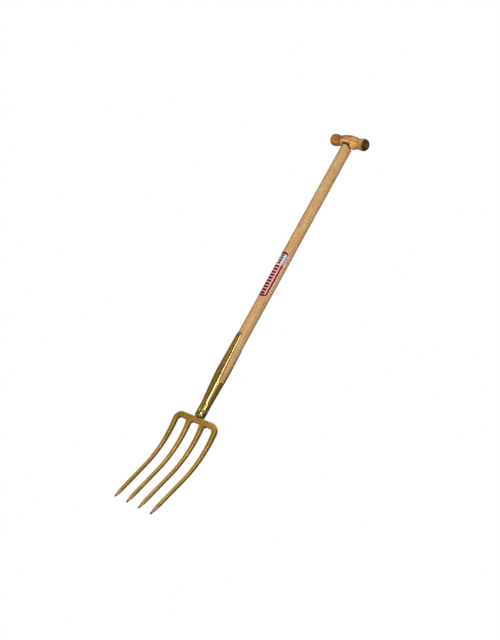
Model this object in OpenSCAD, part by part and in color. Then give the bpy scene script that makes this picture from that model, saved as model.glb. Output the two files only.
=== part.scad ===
// Four-tine garden fork with a strapped socket, a round wooden shaft and a turned T-grip.
// The origin is on the neck's axis, where the neck stands on its seat in the crossbar.
// +Z runs up the shaft, +X across the tines, and the tines sweep forward, towards -Y.

/* [Tines] */
// Distance between neighbouring tines at the crossbar
tine_pitch = 54.7; // [48:0.2:66]
// Distance between neighbouring points
point_pitch = 51.4; // [46:0.1:66]
// Length of a tine along its curve, from the neck's seat to its point
tine_length = 312; // [260:1:360]
// Width of a tine at the crossbar
tine_root_w = 14.4; // [11:0.1:16]
// Front-to-back thickness of a tine at the crossbar
tine_root_t = 13.4; // [10:0.1:14]
// Width of a tine where its point begins
tine_end_w = 9.7; // [7:0.1:11]
// Front-to-back thickness of a tine where its point begins
tine_end_t = 8.8; // [7:0.1:10]
// How fast a tine thins below the crossbar, where 1 is an even taper
root_taper = 3; // [1:0.1:4]
// Length of the ground point
point_length = 30; // [15:1:50]
// Width of the blunt end of a point
point_end = 3.2; // [1.5:0.1:4]
// How full a point is, where 1 is a straight taper
point_fullness = 1.6; // [1:0.1:2.5]
// Radius of the long edges of the crossbar and the tines
edge_r = 2.8; // [1.5:0.1:3.4]
// Radius of the fillet where an inner tine meets the crossbar
root_fillet_r = 9; // [4:0.5:12]

/* [Sweep] */
// Angle by which the tines lean back below the crossbar
back_angle = 8; // [2:0.1:12]
// Radius of the bend that leans them back
back_r = 60; // [40:1:120]
// Angle of the forward sweep
sweep_angle = 28.7; // [15:0.1:40]
// Radius of the forward sweep
sweep_r = 317; // [200:1:450]

/* [Crossbar] */
// Height of the crossbar at its treads
bar_h = 17.6; // [14:0.1:20]
// Front-to-back thickness of the crossbar
bar_t = 13.6; // [11:0.1:16]
// Depth of the seat in the crossbar's top, in which the neck stands
seat_depth = 2.3; // [1:0.1:4]
// Outer radius of the crossbar's bent ends
corner_r = 28; // [22:0.5:34]

/* [Neck] */
// Radius of the neck between the crossbar and the socket
neck_r = 15.7; // [13:0.1:18]
// Height of the neck
neck_h = 25; // [15:0.5:35]
// Radius of the neck's rounded lower edge
neck_edge_r = 10; // [6:0.5:12]
// Height of the spigot that centres the socket on the neck
spigot_h = 14; // [8:0.5:18]
// Height of the weld bead between the neck and the socket
weld_w = 5; // [3:0.1:8]
// How far the weld bead stands proud
weld_proud = 0.9; // [0.4:0.1:2]

/* [Socket] */
// Distance of the handle's axis in front of the neck's axis
handle_forward = 3.4; // [0:0.1:5]
// Wall thickness of the socket and its straps
socket_wall = 2.8; // [1.5:0.1:3.5]
// Length of the socket's straight foot, above the neck
socket_foot_h = 22; // [18:0.5:30]
// Length of the socket's cone, above its foot
socket_cone_h = 93; // [70:1:120]
// Height of the window's sill above the neck
window_sill = 89; // [70:1:110]
// Front-to-back width of the windows
window_w = 22.4; // [16:0.2:26]
// Radius of the corners of a window's sill
window_r = 7; // [3:0.5:8]
// Height of the front strap's top above the neck
front_strap_h = 247; // [200:1:280]
// Height of the rear strap's top above the neck
rear_strap_h = 208; // [180:1:240]
// Radius of the round ends of the straps
strap_end_r = 11; // [7:0.5:12]

/* [Rivets] */
// Radius of a rivet's shank
rivet_r = 2.5; // [1.5:0.1:3.5]
// Radius of a rivet's head
rivet_head_r = 4.5; // [4:0.1:6]
// Height of a rivet's head
rivet_head_h = 2; // [1:0.1:3]
// Radius of the upset end of the upper rivet
rivet_tail_r = 3.6; // [3.6:0.1:4.5]
// Distance of the upper rivet below the top of the front strap
upper_rivet_drop = 10; // [8:0.5:14]
// Distance of the lower rivet below the top of the rear strap
lower_rivet_drop = 26; // [12:0.5:60]
// Radius of the washer behind the upper rivet
washer_r = 6.2; // [5.5:0.1:8]
// Thickness of that washer
washer_t = 1.2; // [0.8:0.1:2]
// Depth to which the washer is let into the shaft, at its rim
washer_bed = 0.5; // [0.2:0.1:1]

/* [Shaft] */
// Radius of the shaft inside the straps
shaft_r = 17.5; // [15:0.1:20]
// Radius of the shaft's straight stretch, where a rack's clip holds it
clip_r = 17.3; // [14:0.1:19]
// Height at which the straight stretch begins
clip_z = 580; // [560:1:700]
// Length of the straight stretch
clip_length = 180; // [40:1:240]
// Radius of the shaft under the grip
shaft_top_r = 17; // [14:0.1:19]
// Gap between the neck's spigot and the foot of the shaft
foot_gap = 2; // [0.5:0.5:3]
// Radius of the tongue at the top of the shaft
tongue_r = 13.5; // [10:0.5:15]
// Gap between the grip's barrel and the hollowed top of the shaft
shoulder_gap = 1.2; // [0.5:0.1:4]
// Radius of the tenon that goes through the grip
tenon_r = 9; // [6:0.5:9.2]

/* [Grip] */
// Height of the grip's axis above the crossbar
grip_z = 926.5; // [860:0.5:1000]
// Radius of the grip's barrel at its middle
barrel_r = 20.8; // [18.5:0.1:22]
// How much thinner the barrel is at its ends
barrel_crown = 1.1; // [0:0.1:1.5]
// Half the length of the barrel
barrel_half = 18; // [17.5:0.5:24]
// Distance from there to the narrowest place of the grip
neck_run = 17; // [10:0.5:24]
// Radius of the grip at its narrowest place
waist_r = 16; // [14:0.1:16.8]
// Distance from there to the widest place of an end knob
knob_run = 21; // [14:0.5:26]
// Radius of an end knob
knob_r = 18.3; // [17.2:0.1:20]
// Distance from there to the end of the grip
knob_end = 12; // [8:0.5:20]
// Radius of the flat face on each end
end_face_r = 8; // [4:0.5:12]
// Depth of the grip's seat, from its axis down to the shaft's tongue
seat_drop = 9; // [6:0.5:12]
// Thickness of the tenon wedge at its top
wedge_top = 3.4; // [2:0.1:4.5]
// Thickness of the tenon wedge at its foot
wedge_foot = 0.9; // [0.6:0.1:1.8]
// Length of the tenon wedge
wedge_length = 24; // [16:0.5:26]

/* [Label] */
// Height of the label's lower edge above the crossbar
label_z = 390; // [300:1:420]
// Height of the label
label_h = 151; // [80:1:160]
// Angle of the shaft that the label covers
label_angle = 136; // [60:2:150]
// Thickness of the label
label_t = 0.4; // [0.3:0.05:0.8]
// Radius of the label's corners
label_corner_r = 12; // [3:0.5:13]

/* [Fit] */
// Clearance between pieces that fit into each other
fit_gap = 0.1; // [0.05:0.01:0.2]

/* [Hidden] */
$fn = 64;

steel_gold = "darkgoldenrod";
weld_gold = "goldenrod";
ash = "burlywood";
varnished = "peru";
cream = "oldlace";

// Depth of the crossbar's underside and of the place where the points begin, along the head
bar_bottom = bar_h - seat_depth;
point_h = tine_length - point_length;
// Places of the outer and the inner tines, in pitches from the middle
outer_ratio = 1.5;
inner_ratio = 0.5;
// Lengths of the head's bends below the crossbar, each with the angle it turns by
head_bends = [
    [bar_bottom, 0],
    [back_r * back_angle * PI / 180, back_angle],
    [sweep_r * sweep_angle * PI / 180, -sweep_angle]
];
// Largest share of a bar's width that the radius of its edges may take
edge_share = 0.45;
edge_steps = 3;
corner_steps = 8;
fillet_steps = 5;
fillet_angle = 80;
sweep_steps = 26;
point_steps = 5;

// Socket and shaft
socket_r = shaft_r + fit_gap + socket_wall;
socket_flare_z = neck_h + socket_foot_h;
socket_full_z = socket_flare_z + socket_cone_h;
front_strap_z = neck_h + front_strap_h;
rear_strap_z = neck_h + rear_strap_h;
sill_z = neck_h + window_sill;
strap_root_x = sqrt(pow(socket_r, 2) - pow(window_w / 2, 2));
foot_z = neck_h + spigot_h + foot_gap;
upper_rivet_z = front_strap_z - upper_rivet_drop;
lower_rivet_z = rear_strap_z - lower_rivet_drop;
seat_z = grip_z - seat_drop;
tenon_top_z = grip_z + barrel_r;
// Space past a surface, so that a cut runs clear of it
past = 1;

function mix(a, b, t) = a + (b - a) * t;

// Place and lean [y, z, angle] after a length of the head that turns by an angle
function travel(from, length, turn) =
    let (chord = turn == 0 ? length : length * sin(turn / 2) / (turn / 2 * PI / 180))
    let (way = from[2] + turn / 2)
    [from[0] + chord * sin(way), from[1] - chord * cos(way), from[2] + turn];

// Place and lean of the head's middle line at a depth h along it
function head_at(h, i = 0, from = [0, 0, 0]) =
    i == len(head_bends) ? travel(from, h, 0)
    : h <= head_bends[i][0] ? travel(from, h, head_bends[i][1] * h / head_bends[i][0])
    : head_at(h - head_bends[i][0], i + 1, travel(from, head_bends[i][0], head_bends[i][1]));

// A point of the flat head, x across, h down and n forward, once the head is bent
function bent(x, h, n) =
    let (at = head_at(h))
    [x, at[0] - n * cos(at[2]), at[1] - n * sin(at[2])];

// Outline of a bar's section, w across and t deep, with round edges
function section(w, t) =
    let (r = min(edge_r, edge_share * min(w, t)))
    [
        for (q = [0 : 3])
            for (k = [0 : edge_steps])
                let (a = 90 * (q + k / edge_steps))
                [
                    (q == 0 || q == 3 ? 1 : -1) * (w / 2 - r) + r * cos(a),
                    (q < 2 ? 1 : -1) * (t / 2 - r) + r * sin(a)
                ]
    ];

// Ring of points at a station: [x, h, heading, w, t]
function ring(s) = [
    for (p = section(s[3], s[4]))
        bent(s[0] + p[0] * sin(s[2]), s[1] - p[0] * cos(s[2]), p[1])
];

function pitch_at(h) = mix(tine_pitch, point_pitch, h / tine_length);
function tine_size(h, root, end) =
    h <= point_h
    ? mix(end, root, pow(1 - max(0, h - bar_bottom) / (point_h - bar_bottom), root_taper))
    : mix(end, point_end, pow((h - point_h) / point_length, point_fullness));

// Station of a tine whose middle is a number of pitches from the head's middle
function tine_station(place, h, flare = 0) =
    let (w = tine_size(h, tine_root_w, tine_end_w) + 2 * flare)
    [place * pitch_at(h), h, 90, w, tine_size(h, tine_root_t, tine_end_t)];

function tine_stations(place, start_h) = concat(
    [for (k = [0 : sweep_steps]) tine_station(place, mix(start_h, point_h, k / sweep_steps))],
    [for (k = [1 : point_steps]) tine_station(place, mix(point_h, tine_length, k / point_steps))]
);

// Right half of the bow, from the middle of the crossbar to the point of the outer tine
corner_h = corner_r - seat_depth;
seat_half = neck_r - neck_edge_r * (1 - sin(acos(1 - seat_depth / neck_edge_r))) + fit_gap;
corner_w = tine_size(corner_h, tine_root_w, tine_end_w);
corner_x = outer_ratio * pitch_at(corner_h) + corner_w / 2 - corner_r;
function bar_station(x, top) = [x, (top + bar_bottom) / 2, 0, bar_bottom - top, bar_t];
function corner_station(a) =
    let (w = mix(bar_h, corner_w, a / 90))
    let (t = mix(bar_t, tine_size(corner_h, tine_root_t, tine_end_t), a / 90))
    [corner_x + (corner_r - w / 2) * sin(a), corner_h - (corner_r - w / 2) * cos(a), a, w, t];
half_bow = concat(
    [
        bar_station(seat_half, 0),
        bar_station(neck_r + past, -seat_depth)
    ],
    [for (k = [0 : corner_steps]) corner_station(90 * k / corner_steps)],
    [for (k = [1 : sweep_steps]) tine_station(outer_ratio, mix(corner_h, point_h, k / sweep_steps))],
    [for (k = [1 : point_steps]) tine_station(outer_ratio, mix(point_h, tine_length, k / point_steps))]
);
left_half_bow = [
    for (i = [len(half_bow) - 1 : -1 : 0])
        let (s = half_bow[i])
        [-s[0], s[1], -s[2], s[3], s[4]]
];

// Inner tine with the fillets that spread its root under the crossbar
function inner_stations(place) = concat(
    [
        for (k = [0 : fillet_steps - 1])
            let (a = fillet_angle * (1 - k / fillet_steps))
            tine_station(
                place,
                bar_bottom + (k == 0 ? 0 : root_fillet_r * (1 - sin(a))),
                root_fillet_r * (1 - cos(a))
            )
    ],
    tine_stations(place, bar_bottom + root_fillet_r)
);

// Closed body through a list of rings with equally many points
module skin(rings) {
    m = len(rings[0]);
    last = len(rings) - 1;
    polyhedron(
        [for (r = rings) for (p = r) p],
        concat(
            [[for (j = [0 : m - 1]) j]],
            [
                for (i = [0 : last - 1])
                    for (j = [0 : m - 1])
                        [i * m + j, (i + 1) * m + j, (i + 1) * m + (j + 1) % m, i * m + (j + 1) % m]
            ],
            [[for (j = [m - 1 : -1 : 0]) last * m + j]]
        )
    );
}

module tine_bow() {
    color(steel_gold) skin([for (s = concat(left_half_bow, half_bow)) ring(s)]);
}

module inner_tine_left() {
    color(steel_gold) skin([for (s = inner_stations(-inner_ratio)) ring(s)]);
}

module inner_tine_right() {
    color(steel_gold) skin([for (s = inner_stations(inner_ratio)) ring(s)]);
}

module neck() {
    spigot_r = neck_r - socket_wall - fit_gap;
    arc_steps = 6;
    color(steel_gold)
        rotate_extrude()
            polygon(concat(
                [[0, 0]],
                [
                    for (k = [0 : arc_steps])
                        let (a = 90 * k / arc_steps)
                        [neck_r - neck_edge_r + neck_edge_r * sin(a), neck_edge_r * (1 - cos(a))]
                ],
                [
                    [neck_r, neck_h],
                    [spigot_r, neck_h],
                    [spigot_r, neck_h + spigot_h],
                    [0, neck_h + spigot_h]
                ]
            ));
}

module neck_weld() {
    arc_steps = 8;
    color(weld_gold)
        translate([0, 0, neck_h])
            rotate_extrude()
                polygon([
                    for (k = [0 : arc_steps])
                        let (a = 180 * k / arc_steps - 90)
                        [neck_r + weld_proud * cos(a), weld_w / 2 * sin(a)]
                ]);
}

// Puts a piece on the handle's axis
module on_handle() {
    translate([0, -handle_forward, 0])
        children();
}

// Lower end of the handle, which leans back to the neck's axis and ends a clearance below full radius
function lean_at(z) = handle_forward * min(1, max(0, (z - foot_z) / (socket_full_z - foot_z)));
function round_ring(r, z) = [
    for (k = [0 : $fn - 1])
        let (a = 360 * k / $fn)
        [r * cos(a), r * sin(a) - lean_at(z), z]
];
module leaning(low_z, foot_r, full_r) {
    skin([
        round_ring(foot_r, low_z),
        round_ring(foot_r, foot_z),
        round_ring(foot_r, socket_flare_z),
        round_ring(full_r - fit_gap, socket_full_z)
    ]);
}

// Outline of a strap seen from the front, with a round end that its tapered sides run into
module strap_outline(top_z) {
    start_z = sill_z + window_r;
    end_z = top_z - strap_end_r;
    tilt = atan2(strap_root_x - strap_end_r, end_z - start_z);
    translate([0, end_z])
        circle(strap_end_r);
    polygon([
        [-strap_root_x, start_z],
        [strap_root_x, start_z],
        [strap_end_r * cos(tilt), end_z + strap_end_r * sin(tilt)],
        [-strap_end_r * cos(tilt), end_z + strap_end_r * sin(tilt)]
    ]);
}

// All that is cut away in front, outside the strap's outline
module strap_cut(top_z) {
    start_z = sill_z + window_r;
    reach = socket_r + past;
    rotate([90, 0, 0])
        linear_extrude(reach)
            difference() {
                translate([-reach, start_z])
                    square([2 * reach, front_strap_z + past - start_z]);
                strap_outline(top_z);
            }
}

// Gap between the straps on both sides, with round corners at its sill
module windows() {
    rotate([90, 0, 90])
        linear_extrude(2 * (socket_r + past), center = true) {
            translate([-window_w / 2, sill_z + window_r])
                square([window_w, front_strap_z + past - sill_z - window_r]);
            translate([-window_w / 2 + window_r, sill_z])
                square([window_w - 2 * window_r, window_r + past]);
            for (side = [-1, 1])
                translate([side * (window_w / 2 - window_r), sill_z + window_r])
                    circle(window_r);
        }
}

// Round holes for the rivets, front to back
module rivet_holes() {
    for (z = [upper_rivet_z, lower_rivet_z])
        translate([0, 0, z])
            rotate([90, 0, 0])
                cylinder(r = rivet_r + fit_gap, h = 2 * (socket_r + past), center = true);
}

module socket() {
    color(steel_gold)
        difference() {
            union() {
                leaning(neck_h, neck_r, socket_r);
                on_handle()
                    translate([0, 0, socket_full_z])
                        cylinder(r = socket_r, h = front_strap_z - socket_full_z);
            }
            leaning(neck_h - past, neck_r - socket_wall, socket_r - socket_wall);
            on_handle() {
                translate([0, 0, socket_full_z])
                    cylinder(r = socket_r - socket_wall, h = front_strap_z - socket_full_z + past);
                windows();
                strap_cut(front_strap_z);
                mirror([0, 1, 0])
                    strap_cut(rear_strap_z);
                rivet_holes();
            }
        }
}

// Low dome of a rivet, standing on a round surface of radius r in front
module rivet_head(r) {
    dome_r = (pow(rivet_head_r, 2) + pow(rivet_head_h, 2)) / (2 * rivet_head_h);
    difference() {
        intersection() {
            translate([0, dome_r - r - rivet_head_h, 0])
                sphere(dome_r);
            rotate([90, 0, 0])
                cylinder(r = rivet_head_r, h = r + rivet_head_h);
        }
        cylinder(r = r, h = 4 * rivet_head_r, center = true);
    }
}

// Depth of the flat seat that the washer needs on the round shaft
washer_y = sqrt(pow(shaft_r, 2) - pow(washer_r + fit_gap, 2)) - washer_bed;

module strap_rivets() {
    color(steel_gold)
        on_handle() {
            translate([0, 0, upper_rivet_z]) {
                rivet_head(socket_r);
                translate([0, washer_y + washer_t + rivet_head_h / 2, 0])
                    rotate([90, 0, 0])
                        cylinder(r = rivet_r, h = washer_y + washer_t + rivet_head_h / 2 + socket_r);
                translate([0, washer_y + washer_t + rivet_head_h / 2, 0])
                    rotate([90, 0, 0])
                        cylinder(r = rivet_tail_r, h = rivet_head_h / 2);
            }
            translate([0, 0, lower_rivet_z]) {
                rivet_head(socket_r);
                mirror([0, 1, 0])
                    rivet_head(socket_r);
                rotate([90, 0, 0])
                    cylinder(r = rivet_r, h = 2 * socket_r, center = true);
            }
        }
}

module rivet_washer() {
    color(steel_gold)
        on_handle()
            translate([0, washer_y + washer_t, upper_rivet_z])
                rotate([90, 0, 0])
                    difference() {
                        cylinder(r = washer_r, h = washer_t);
                        translate([0, 0, -past])
                            cylinder(r = rivet_r + fit_gap, h = washer_t + 2 * past);
                    }
}

// Radius of the bare shaft between the socket's cone and its straight stretch
function shaft_r_at(z) =
    mix(shaft_r, clip_r, (z - socket_full_z) / (clip_z - socket_full_z));

// Round timber of the shaft above the socket's cone, up to the top of its tongue
module shaft_body() {
    rotate_extrude()
        polygon([
            [0, socket_full_z],
            [shaft_r, socket_full_z],
            [clip_r, clip_z],
            [clip_r, clip_z + clip_length],
            [shaft_top_r, seat_z - fit_gap],
            [0, seat_z - fit_gap]
        ]);
}

// Hollow cut into the top of the shaft around its tongue
module saddle_cut() {
    reach = shaft_r + past;
    difference() {
        translate([0, 0, grip_z])
            rotate([0, 90, 0])
                cylinder(r = barrel_r + shoulder_gap, h = 2 * reach, center = true);
        translate([0, 0, grip_z - 2 * barrel_r])
            cylinder(r = tongue_r, h = 4 * barrel_r);
    }
}

// Wedge in the tenon, grown all round by a gap
module wedge_form(gap) {
    top_z = tenon_top_z + past;
    foot_wedge_z = tenon_top_z - wedge_length;
    rotate([90, 0, 0])
        linear_extrude(2 * tenon_r + 2 * past, center = true)
            polygon([
                [-wedge_top / 2 - gap, top_z],
                [wedge_top / 2 + gap, top_z],
                [wedge_foot / 2 + gap, foot_wedge_z - gap],
                [-wedge_foot / 2 - gap, foot_wedge_z - gap]
            ]);
}

// Tenon that goes through the grip and ends flush with its barrel
module tenon_form() {
    intersection() {
        translate([0, 0, seat_z - past])
            cylinder(r = tenon_r, h = tenon_top_z - seat_z + past);
        grip_form();
    }
}

module shaft() {
    color(ash) {
        leaning(foot_z, neck_r - socket_wall - fit_gap, shaft_r);
        on_handle()
            difference() {
                union() {
                    difference() {
                        shaft_body();
                        saddle_cut();
                    }
                    tenon_form();
                }
                wedge_form(fit_gap);
                rivet_holes();
                translate([0, washer_y, upper_rivet_z])
                    rotate([-90, 0, 0])
                        cylinder(r = washer_r + fit_gap, h = shaft_r);
            }
    }
}

// Radius of the grip at a distance x from its middle
waist_x = barrel_half + neck_run;
knob_x = waist_x + knob_run;
grip_half = knob_x + knob_end;
function ease(a, b, t) = mix(a, b, (1 - cos(180 * t)) / 2);
function grip_r_at(x) =
    x <= barrel_half ? barrel_r - barrel_crown * pow(x / barrel_half, 2)
    : x <= waist_x ? ease(barrel_r - barrel_crown, waist_r, (x - barrel_half) / neck_run)
    : x <= knob_x ? ease(waist_r, knob_r, (x - waist_x) / knob_run)
    : end_face_r + (knob_r - end_face_r) * sqrt(max(0, 1 - pow((x - knob_x) / knob_end, 2)));
turn_steps = 10;
half_profile = concat(
    [for (k = [1 : turn_steps]) barrel_half * k / turn_steps],
    [for (k = [1 : turn_steps]) barrel_half + neck_run * k / turn_steps],
    [for (k = [1 : turn_steps]) waist_x + knob_run * k / turn_steps],
    [for (k = [1 : turn_steps]) knob_x + knob_end * sin(90 * k / turn_steps)]
);

// Turned body of the grip, along X
module grip_form() {
    translate([0, 0, grip_z])
        rotate([0, 90, 0])
            rotate_extrude()
                polygon(concat(
                    [[0, -grip_half]],
                    [
                        for (i = [len(half_profile) - 1 : -1 : 0])
                            [grip_r_at(half_profile[i]), -half_profile[i]]
                    ],
                    [[barrel_r, 0]],
                    [for (x = half_profile) [grip_r_at(x), x]],
                    [[0, grip_half]]
                ));
}

module t_grip() {
    seat_x = shaft_top_r + fit_gap;
    color(varnished)
        on_handle()
            difference() {
                grip_form();
                translate([-seat_x, -barrel_r - past, grip_z - barrel_r - past])
                    cube([2 * seat_x, 2 * (barrel_r + past), barrel_r + past - seat_drop]);
                translate([0, 0, grip_z - barrel_r])
                    cylinder(r = tenon_r + fit_gap, h = 2 * barrel_r + past);
            }
}

module tenon_wedge() {
    color(ash)
        on_handle()
            intersection() {
                wedge_form(0);
                tenon_form();
            }
}

module label() {
    low_r = shaft_r_at(label_z) + fit_gap;
    high_r = shaft_r_at(label_z + label_h) + fit_gap;
    half_x = (low_r + label_t) * sin(min(90, label_angle / 2));
    color(cream)
        on_handle()
            intersection() {
                rotate([0, 0, -90 - label_angle / 2])
                    rotate_extrude(angle = label_angle)
                        polygon([
                            [low_r, label_z],
                            [low_r + label_t, label_z],
                            [high_r + label_t, label_z + label_h],
                            [high_r, label_z + label_h]
                        ]);
                rotate([90, 0, 0])
                    linear_extrude(shaft_r + past) {
                        translate([-half_x, label_z + label_corner_r])
                            square([2 * half_x, label_h - 2 * label_corner_r]);
                        translate([-half_x + label_corner_r, label_z])
                            square([2 * (half_x - label_corner_r), label_h]);
                        for (side = [-1, 1])
                            for (z = [label_z + label_corner_r, label_z + label_h - label_corner_r])
                                translate([side * (half_x - label_corner_r), z])
                                    circle(label_corner_r);
                    }
            }
}

tine_bow();
inner_tine_left();
inner_tine_right();
neck();
neck_weld();
socket();
strap_rivets();
rivet_washer();
shaft();
t_grip();
tenon_wedge();
label();
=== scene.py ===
import math

import bmesh
import bpy
from mathutils import Matrix, Vector


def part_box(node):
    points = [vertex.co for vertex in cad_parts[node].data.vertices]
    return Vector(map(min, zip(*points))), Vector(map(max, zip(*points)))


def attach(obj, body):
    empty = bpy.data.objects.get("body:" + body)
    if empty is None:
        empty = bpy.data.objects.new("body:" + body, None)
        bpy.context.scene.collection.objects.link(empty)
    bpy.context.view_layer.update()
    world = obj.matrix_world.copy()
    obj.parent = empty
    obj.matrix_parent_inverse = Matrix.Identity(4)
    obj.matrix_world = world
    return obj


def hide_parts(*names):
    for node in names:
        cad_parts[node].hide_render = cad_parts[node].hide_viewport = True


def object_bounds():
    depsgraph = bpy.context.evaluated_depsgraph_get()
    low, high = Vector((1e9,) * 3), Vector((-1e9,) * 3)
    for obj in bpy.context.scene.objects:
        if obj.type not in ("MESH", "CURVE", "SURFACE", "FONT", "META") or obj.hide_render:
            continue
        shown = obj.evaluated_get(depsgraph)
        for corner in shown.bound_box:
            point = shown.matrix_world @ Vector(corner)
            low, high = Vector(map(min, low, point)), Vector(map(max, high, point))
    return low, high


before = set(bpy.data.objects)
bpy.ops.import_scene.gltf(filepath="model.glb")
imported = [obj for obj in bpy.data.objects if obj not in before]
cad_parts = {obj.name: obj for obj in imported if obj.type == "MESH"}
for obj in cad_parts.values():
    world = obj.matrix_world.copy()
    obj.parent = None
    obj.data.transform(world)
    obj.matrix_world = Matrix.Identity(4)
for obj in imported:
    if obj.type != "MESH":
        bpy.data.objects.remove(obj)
cad_low, cad_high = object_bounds()

MM = 0.001
UP, ACROSS, FORWARD = Vector((0, 0, 1)), Vector((1, 0, 0)), Vector((0, -1, 0))
FIT_GAP = 0.1 * MM

# Distances below which points are merged or count as one place
MERGE, FINE_MERGE, MIRROR_MERGE = 0.01 * MM, 0.001 * MM, 0.05 * MM

# Sizes that the frame gives
_, neck_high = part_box("neck")
weld_low, weld_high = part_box("neck_weld")
socket_low, socket_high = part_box("socket")
grip_low, grip_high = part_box("t_grip")
label_low, label_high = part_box("label")
HANDLE_Y = (grip_low.y + grip_high.y) / 2

# Head: flat sizes of the crossbar and the tines, before the bends
BAR_H = 17.6 * MM
BAR_T = 13.6 * MM
TREAD_Z = 2.3 * MM
BAR_BOTTOM = BAR_H - TREAD_Z
EDGE_R = 2.8 * MM
CORNER_R = 28 * MM
CORNER_H = CORNER_R - TREAD_Z
TINE_LENGTH = 312 * MM
POINT_LENGTH = 30 * MM
POINT_H = TINE_LENGTH - POINT_LENGTH
ROOT_W, ROOT_T = 14.4 * MM, 13.4 * MM
END_W, END_T = 9.7 * MM, 8.8 * MM
ROOT_TAPER = 3
POINT_END = 3.2 * MM
POINT_FULLNESS = 1.6
ROOT_FILLET_R = 9 * MM
ROOT_FLARE_MAX = 0.8 * ROOT_FILLET_R
ROOT_UP = 7 * MM
ROOT_PROUD = 0.3 * MM
PITCH_BAR, PITCH_POINT = 54.7 * MM, 51.4 * MM
OUTER_RATIO, INNER_RATIO = 1.5, 0.5
BACK_BEND_R, BACK_BEND = 60 * MM, math.radians(8)
SWEEP_R, SWEEP = 317 * MM, math.radians(28.7)
HEAD_BENDS = [
    (BAR_BOTTOM, 0),
    (BACK_BEND_R * BACK_BEND, BACK_BEND),
    (SWEEP_R * SWEEP, -SWEEP),
]

# Neck and weld bead
NECK_R = neck_high.x
NECK_TOP = (weld_low.z + weld_high.z) / 2
NECK_EDGE_R = 10 * MM
NECK_CREASE = 0.5 * MM
NECK_STUB = 4 * MM
BEAD_PROUD = weld_high.x - NECK_R
BEAD_HALF = (weld_high.z - weld_low.z) / 2
RIPPLES = 34
RIPPLE_DEPTH, RIPPLE_SWELL = 0.007, 0.1
RIPPLE_SLANT = 1.5 / MM

# Socket
SOCKET_R = HANDLE_Y - socket_low.y
SOCKET_WALL = 2.8 * MM
SOCKET_EDGE_R = 0.5 * MM
LEAN_GAP = 2 * MM
LEAN_Z = neck_high.z + LEAN_GAP
SOCKET_FOOT_H, SOCKET_CONE_H = 22 * MM, 93 * MM
FLARE_Z = NECK_TOP + SOCKET_FOOT_H
FULL_Z = FLARE_Z + SOCKET_CONE_H
SILL_H = 89 * MM
SILL_Z = NECK_TOP + SILL_H
WINDOW_W = 22.4 * MM
WINDOW_R = 7 * MM
FRONT_STRAP_Z = socket_high.z
REAR_STRAP_H = 208 * MM
REAR_STRAP_Z = NECK_TOP + REAR_STRAP_H
STRAP_END_R = 11 * MM
STRAP_RIM, STRAP_FALL = 4.5 * MM, 1.4 * MM

# Rivets and the bed of the washer
UPPER_RIVET_DROP, LOWER_RIVET_DROP = 10 * MM, 26 * MM
UPPER_RIVET_Z = FRONT_STRAP_Z - UPPER_RIVET_DROP
LOWER_RIVET_Z = REAR_STRAP_Z - LOWER_RIVET_DROP
RIVET_HEAD_R, RIVET_HEAD_H = 4.5 * MM, 2 * MM
RIVET_SINK = 1.2 * MM
RIVET_TAIL_R, RIVET_TAIL_H = 3.6 * MM, 1 * MM
RIVET_TAIL_LIP = 0.4 * MM
WASHER_R, WASHER_T, WASHER_BED = 6.2 * MM, 1.2 * MM, 0.5 * MM

# Shaft and grip
SHAFT_R, CLIP_R, SHAFT_TOP_R = 17.5 * MM, 17.3 * MM, 17 * MM
SHAFT_FOOT_DROP = 10 * MM
CLIP_Z, CLIP_LENGTH = 580 * MM, 180 * MM
BARREL_R, BARREL_CROWN, BARREL_HALF = 20.8 * MM, 1.1 * MM, 18 * MM
GRIP_Z = grip_high.z - BARREL_R
WAIST_RUN, KNOB_RUN = 17 * MM, 21 * MM
WAIST_R, WAIST_X = 16 * MM, BARREL_HALF + WAIST_RUN
KNOB_R, KNOB_X = 18.3 * MM, WAIST_X + KNOB_RUN
GRIP_HALF = grip_high.x
END_FACE_R = 8 * MM
END_CROWN, END_CROWN_SIDE, END_CROWN_R = 0.3 * MM, 0.2 * MM, 0.6 * END_FACE_R
SEAT_DROP = 9 * MM
SEAT_Z = GRIP_Z - SEAT_DROP
SEAT_X = SHAFT_TOP_R + FIT_GAP
SEAT_CHAMFER = 1.6 * MM
SHOULDER_GAP = 1.2 * MM
SHOULDER_RIM = 2.2 * MM
COPE_R = BARREL_R + SHOULDER_GAP
COPE_MARK = 0.5 * MM
TONGUE_R, TONGUE_DROP, TONGUE_LIP = 13.5 * MM, 8 * MM, 0.4 * MM
TENON_R, TENON_LIP = 9 * MM, 0.25 * MM
WEDGE_T, WEDGE_H = 3.4 * MM, 6 * MM
WEDGE_PROUD, WEDGE_EDGE_R = 0.6 * MM, 0.2 * MM

# Label, and its print: the frame round it, then the field of bars, and the panel of rules above
LABEL_ANGLE = math.radians(136)
LABEL_T = 0.4 * MM
LABEL_CORNER_R = 12 * MM
PRINT_SOFT = 0.2 * MM
PRINT_MARGIN, PRINT_FRAME = 1.5 * MM, 3.5 * MM
FIELD_FOOT, FIELD_DROP = 8.5 * MM, 45 * MM
PANEL_GAP, PANEL_DROP = 2.5 * MM, 9 * MM
PRINT_BARS, PRINT_RULES = 10, 4
BAR_INSET = 3.2 * MM
BAR_SPAN, RULE_SPAN = (0.16, 0.82), (0.12, 0.88)
RULE_SIDES = (-0.18, 0.36)


def mix(a, b, t):
    return a + (b - a) * t


def part_way(low, high, value):
    """How far a value has come from low to high, held between 0 and 1."""
    return min(1, max(0, (value - low) / (high - low)))


def smooth(low, high, value):
    """The same with an eased rise."""
    t = part_way(low, high, value)
    return t * t * (3 - 2 * t)


def spread(a, b, count):
    """Count values from just past a up to b."""
    return [mix(a, b, (k + 1) / count) for k in range(count)]


def quarter(steps):
    """The angles of a quarter turn, in steps."""
    return [math.pi / 2 * k / steps for k in range(steps + 1)]


def leg(slant, side):
    """The other short side of a right-angled triangle."""
    return math.sqrt(max(0, slant**2 - side**2))


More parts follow.
